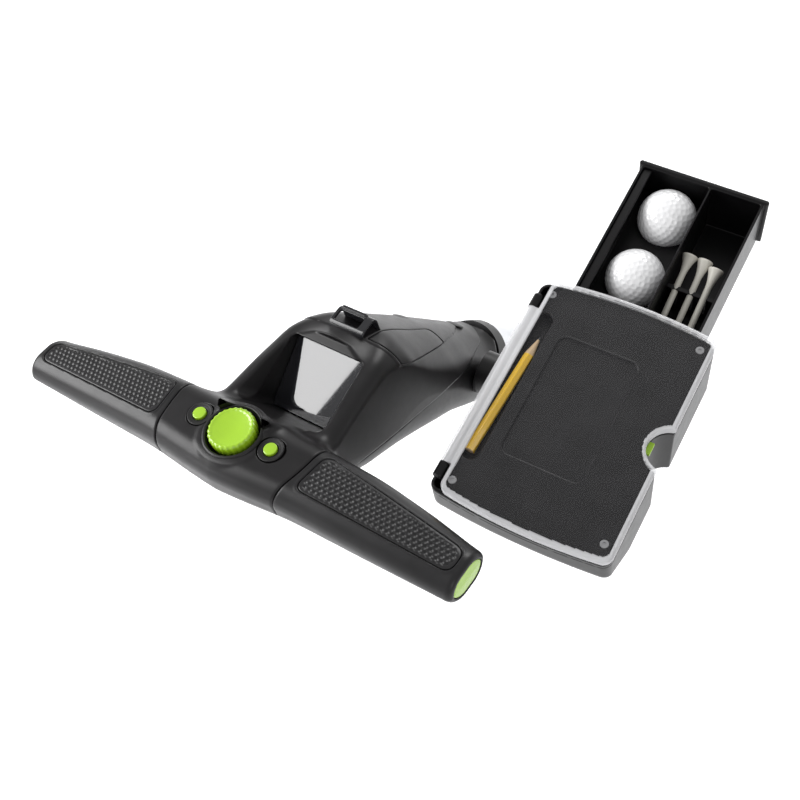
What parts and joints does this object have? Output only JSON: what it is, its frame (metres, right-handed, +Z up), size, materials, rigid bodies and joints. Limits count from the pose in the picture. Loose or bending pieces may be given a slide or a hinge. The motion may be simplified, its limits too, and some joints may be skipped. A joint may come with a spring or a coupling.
{
  "type": "electric golf trolley handle",
  "caption": "T-handle control head of an electric golf trolley with a green speed knob, display, silver shaft and a side box with a clear lid, drawer, balls, tees and pencil.",
  "frame": {"origin": "centre of the shaft tube's open lower end", "axes": "+Z up and square to the knob's deck, +X to the user's right along the handlebar, +Y forwards, away from the user"},
  "size_m": [0.3891, 0.3997, 0.3478],
  "materials": {
    "housing_black": "satin",
    "grip_rubber": "soft touch",
    "inlay_rubber": "textured",
    "pad_black": "matte",
    "green_plastic": "gloss",
    "display_glass": "polished",
    "display_dark": "gloss",
    "circuit_board": "matte",
    "gloss_black": "gloss",
    "shaft_silver": "satin",
    "steel": "satin",
    "box_black": "satin",
    "tray_black": "satin",
    "clear_plastic": "polished",
    "pencil_paint": "painted",
    "ball_white": "gloss",
    "tee_white": "satin"
  },
  "bodies": {
    "head": {"accessory_clip": "gloss_black", "arm_boss": "housing_black", "arm_end_plug": "housing_black", "bar_underside": "housing_black", "display_board": "circuit_board", "display_glass": "display_glass", "display_mask": "display_dark", "display_well": "housing_black", "housing_screws": "steel", "knob_surround": "housing_black", "lcd_panel": "display_dark", "left_button_pad": "pad_black", "left_end_cap": "green_plastic", "left_grip": "grip_rubber", "left_grip_core": "steel", "left_grip_panel": "inlay_rubber", "left_switch": "circuit_board", "lower_housing": "housing_black", "port_surround": "housing_black", "right_button_pad": "pad_black", "right_end_cap": "green_plastic", "right_grip": "grip_rubber", "right_grip_core": "steel", "right_grip_panel": "inlay_rubber", "right_switch": "circuit_board", "screw_caps": "housing_black", "shaft_collar": "housing_black", "shaft_socket": "steel", "shaft_tube": "shaft_silver", "side_arm": "housing_black", "speed_encoder": "circuit_board", "upper_housing": "housing_black"},
    "speed_knob": {"speed_knob": "green_plastic", "knob_shaft": "steel"},
    "left_button": {"left_button": "green_plastic"},
    "right_button": {"right_button": "green_plastic"},
    "port_flap": {"port_flap": "housing_black"},
    "carrier": {"clamp_saddle": "housing_black", "clamp_strap": "housing_black", "clamp_bolts": "steel", "pivot_clip": "steel"},
    "storage_box": {"box_base": "box_black", "scorecard_tray": "tray_black", "tray_screws": "steel", "hinge_pin": "steel", "swivel_plate": "housing_black", "plate_screws": "steel", "pencil": "pencil_paint"},
    "lid": {"box_lid": "clear_plastic"},
    "latch": {"lid_latch": "green_plastic"},
    "drawer": {"drawer": "box_black", "ball_rack": "box_black", "tee_rest": "box_black", "golf_balls": "ball_white", "golf_tees": "tee_white"}
  },
  "joints": [
    {"name": "knob_spin", "type": "hinge", "parent": "head", "child": "speed_knob", "pos_m": [0, -0.35242, 0.32732], "axis": [0, 0, 1], "continuous": true},
    {"name": "left_button_press", "type": "slide", "parent": "head", "child": "left_button", "axis": [0, 0, -1], "range_m": [0, 0.0012], "stiffness_N_per_m": 400},
    {"name": "right_button_press", "type": "slide", "parent": "head", "child": "right_button", "axis": [0, 0, -1], "range_m": [0, 0.0012], "stiffness_N_per_m": 400},
    {"name": "port_flap_hinge", "type": "hinge", "parent": "head", "child": "port_flap", "pos_m": [0.027, -0.24222, 0.29772], "axis": [1, 0, 0], "range_deg": [0, 75]},
    {"name": "box_tilt", "type": "hinge", "parent": "head", "child": "carrier", "pos_m": [0.12682, -0.15166, 0.15778], "axis": [0.9886, 0.0835, -0.125], "range_deg": [-20, 35]},
    {"name": "box_swivel", "type": "hinge", "parent": "carrier", "child": "storage_box", "pos_m": [0.13236, -0.15434, 0.19983], "axis": [0.1304, -0.0631, 0.9895], "range_deg": [-15, 25]},
    {"name": "lid_hinge", "type": "hinge", "parent": "storage_box", "child": "lid", "pos_m": [0.08849, -0.21537, 0.26004], "axis": [0.0748, -0.9945, -0.0732], "range_deg": [0, 115]},
    {"name": "lid_release", "type": "slide", "parent": "storage_box", "child": "latch", "axis": [-0.9886, -0.0835, 0.125], "range_m": [0, 0.002], "stiffness_N_per_m": 300},
    {"name": "drawer_slide", "type": "slide", "parent": "storage_box", "child": "drawer", "axis": [-0.0748, 0.9945, 0.0732], "range_m": [-0.117, 0]}
  ]
}
